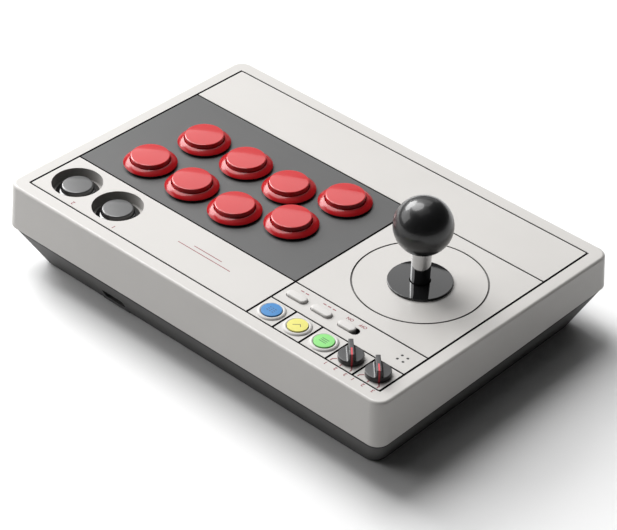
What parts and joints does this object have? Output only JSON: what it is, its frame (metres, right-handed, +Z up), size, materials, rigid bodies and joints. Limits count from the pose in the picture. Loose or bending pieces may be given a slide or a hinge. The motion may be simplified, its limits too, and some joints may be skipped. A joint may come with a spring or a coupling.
{
  "type": "arcade stick",
  "caption": "Wedge-shaped table-top arcade controller with a ball-top lever, round press buttons, small keys, a slide switch and rotary selectors.",
  "frame": {"origin": "middle of the bounding box's footprint, on the table under the rubber mat", "axes": "+X the player's right along the case, +Y away from the player to the rear, +Z up from the table"},
  "size_m": [0.3036, 0.2034, 0.1112],
  "materials": {
    "light_shell": "satin light grey moulding",
    "dark_base": "fine-grained dark grey moulding",
    "dark_panel": "satin mid grey inlay",
    "red_gloss": "glossy red",
    "black_gloss": "glossy black",
    "light_key": "satin light grey key",
    "blue_key": "satin sky blue",
    "yellow_key": "satin lemon yellow",
    "green_key": "satin leaf green",
    "dark_knob": "glossy dark grey",
    "light_pipe": "smoked clear",
    "bright_steel": "turned steel",
    "plated_steel": "zinc-plated steel",
    "mat_rubber": "non-slip rubber",
    "inner_black": "moulded black",
    "circuit_board": "green circuit board",
    "battery_wrap": "blue wrap"
  },
  "bodies": {
    "case": {"top_shell": "light_shell", "face_plate": "light_shell", "button_panel": "dark_panel", "base_tub": "dark_base", "rubber_mat": "mat_rubber", "ballast_plate": "plated_steel", "battery_pack": "battery_wrap", "case_screws": "plated_steel", "button_switches": "inner_black", "round_bezels": "light_key", "light_guide": "light_pipe", "control_board": "circuit_board", "key_switches": "inner_black", "slide_switch_body": "inner_black", "rotary_switches": "inner_black", "stick_mount_plate": "plated_steel", "mount_screws": "plated_steel", "stick_housing": "inner_black", "stick_board": "circuit_board", "lever_switches": "inner_black", "stick_gate": "inner_black", "usb_socket": "plated_steel", "socket_board": "circuit_board", "main_button_1_housing": "red_gloss", "main_button_2_housing": "red_gloss", "main_button_3_housing": "red_gloss", "main_button_4_housing": "red_gloss", "main_button_5_housing": "red_gloss", "main_button_6_housing": "red_gloss", "main_button_7_housing": "red_gloss", "main_button_8_housing": "red_gloss", "function_button_1_housing": "black_gloss", "function_button_2_housing": "black_gloss"},
    "washer_carrier": {"washer_slip_ring": "inner_black"},
    "washer": {"dust_washer": "black_gloss"},
    "lever_pivot": {"pivot_ball": "inner_black"},
    "lever": {"lever_shaft": "bright_steel", "shaft_cover": "bright_steel", "ball_top": "black_gloss", "actuator": "inner_black", "retaining_clip": "bright_steel", "return_spring": "bright_steel"},
    "main_button_1": {"main_button_1_plunger": "red_gloss"},
    "main_button_2": {"main_button_2_plunger": "red_gloss"},
    "main_button_3": {"main_button_3_plunger": "red_gloss"},
    "main_button_4": {"main_button_4_plunger": "red_gloss"},
    "main_button_5": {"main_button_5_plunger": "red_gloss"},
    "main_button_6": {"main_button_6_plunger": "red_gloss"},
    "main_button_7": {"main_button_7_plunger": "red_gloss"},
    "main_button_8": {"main_button_8_plunger": "red_gloss"},
    "function_button_1": {"function_button_1_plunger": "black_gloss"},
    "function_button_2": {"function_button_2_plunger": "black_gloss"},
    "blue_key": {"blue_button": "blue_key"},
    "yellow_key": {"yellow_button": "yellow_key"},
    "green_key": {"green_button": "green_key"},
    "start_key": {"start_button": "light_key"},
    "select_key": {"select_button": "light_key"},
    "slide_thumb": {"slide_knob": "light_key"},
    "left_selector": {"left_knob": "dark_knob"},
    "right_selector": {"right_knob": "dark_knob"}
  },
  "joints": [
    {"name": "lever_forward_back", "type": "hinge", "parent": "case", "child": "lever_pivot", "pos_m": [-0.09068, -0.00081, 0.04641], "axis": [1, 0, 0], "range_deg": [-7.5, 7.5], "stiffness_Nm_per_rad": 0.9},
    {"name": "lever_left_right", "type": "hinge", "parent": "lever_pivot", "child": "lever", "pos_m": [-0.09068, -0.00081, 0.04641], "axis": [0, 0.9993, 0.0366], "range_deg": [-7.5, 7.5], "stiffness_Nm_per_rad": 0.9},
    {"name": "washer_forward_back", "type": "slide", "parent": "case", "child": "washer_carrier", "axis": [0, 0.9993, 0.0366], "range_m": [-0.0012, 0.0012]},
    {"name": "washer_left_right", "type": "slide", "parent": "washer_carrier", "child": "washer", "axis": [1, 0, 0], "range_m": [-0.0012, 0.0012]},
    {"name": "main_button_1_press", "type": "slide", "parent": "case", "child": "main_button_1", "axis": [0, -0.0366, 0.9993], "range_m": [-0.003, 0], "stiffness_N_per_m": 250, "springref_m": 0.001},
    {"name": "main_button_2_press", "type": "slide", "parent": "case", "child": "main_button_2", "axis": [0, -0.0366, 0.9993], "range_m": [-0.003, 0], "stiffness_N_per_m": 250, "springref_m": 0.001},
    {"name": "main_button_3_press", "type": "slide", "parent": "case", "child": "main_button_3", "axis": [0, -0.0366, 0.9993], "range_m": [-0.003, 0], "stiffness_N_per_m": 250, "springref_m": 0.001},
    {"name": "main_button_4_press", "type": "slide", "parent": "case", "child": "main_button_4", "axis": [0, -0.0366, 0.9993], "range_m": [-0.003, 0], "stiffness_N_per_m": 250, "springref_m": 0.001},
    {"name": "main_button_5_press", "type": "slide", "parent": "case", "child": "main_button_5", "axis": [0, -0.0366, 0.9993], "range_m": [-0.003, 0], "stiffness_N_per_m": 250, "springref_m": 0.001},
    {"name": "main_button_6_press", "type": "slide", "parent": "case", "child": "main_button_6", "axis": [0, -0.0366, 0.9993], "range_m": [-0.003, 0], "stiffness_N_per_m": 250, "springref_m": 0.001},
    {"name": "main_button_7_press", "type": "slide", "parent": "case", "child": "main_button_7", "axis": [0, -0.0366, 0.9993], "range_m": [-0.003, 0], "stiffness_N_per_m": 250, "springref_m": 0.001},
    {"name": "main_button_8_press", "type": "slide", "parent": "case", "child": "main_button_8", "axis": [0, -0.0366, 0.9993], "range_m": [-0.003, 0], "stiffness_N_per_m": 250, "springref_m": 0.001},
    {"name": "function_button_1_press", "type": "slide", "parent": "case", "child": "function_button_1", "axis": [0, -0.0366, 0.9993], "range_m": [-0.0026, 0], "stiffness_N_per_m": 250, "springref_m": 0.001},
    {"name": "function_button_2_press", "type": "slide", "parent": "case", "child": "function_button_2", "axis": [0, -0.0366, 0.9993], "range_m": [-0.0026, 0], "stiffness_N_per_m": 250, "springref_m": 0.001},
    {"name": "blue_press", "type": "slide", "parent": "case", "child": "blue_key", "axis": [0, -0.0366, 0.9993], "range_m": [-0.0008, 0], "stiffness_N_per_m": 600, "springref_m": 0.001},
    {"name": "yellow_press", "type": "slide", "parent": "case", "child": "yellow_key", "axis": [0, -0.0366, 0.9993], "range_m": [-0.0008, 0], "stiffness_N_per_m": 600, "springref_m": 0.001},
    {"name": "green_press", "type": "slide", "parent": "case", "child": "green_key", "axis": [0, -0.0366, 0.9993], "range_m": [-0.0008, 0], "stiffness_N_per_m": 600, "springref_m": 0.001},
    {"name": "start_press", "type": "slide", "parent": "case", "child": "start_key", "axis": [0, -0.0366, 0.9993], "range_m": [-0.0008, 0], "stiffness_N_per_m": 600, "springref_m": 0.001},
    {"name": "select_press", "type": "slide", "parent": "case", "child": "select_key", "axis": [0, -0.0366, 0.9993], "range_m": [-0.0008, 0], "stiffness_N_per_m": 600, "springref_m": 0.001},
    {"name": "slide_switch_slide", "type": "slide", "parent": "case", "child": "slide_thumb", "axis": [1, 0, 0], "range_m": [-0.0025, 0]},
    {"name": "left_selector_turn", "type": "hinge", "parent": "case", "child": "left_selector", "pos_m": [-0.13098, 0.07945, 0.05735], "axis": [0, -0.0366, 0.9993], "range_deg": [-90, 0]},
    {"name": "right_selector_turn", "type": "hinge", "parent": "case", "child": "right_selector", "pos_m": [-0.11083, 0.07945, 0.05735], "axis": [0, -0.0366, 0.9993], "range_deg": [-90, 0]}
  ],
  "couplings": [
    {"joint": "washer_forward_back", "follows": "lever_forward_back", "m_per_rad": -0.0087},
    {"joint": "washer_left_right", "follows": "lever_left_right", "m_per_rad": 0.0087}
  ]
}
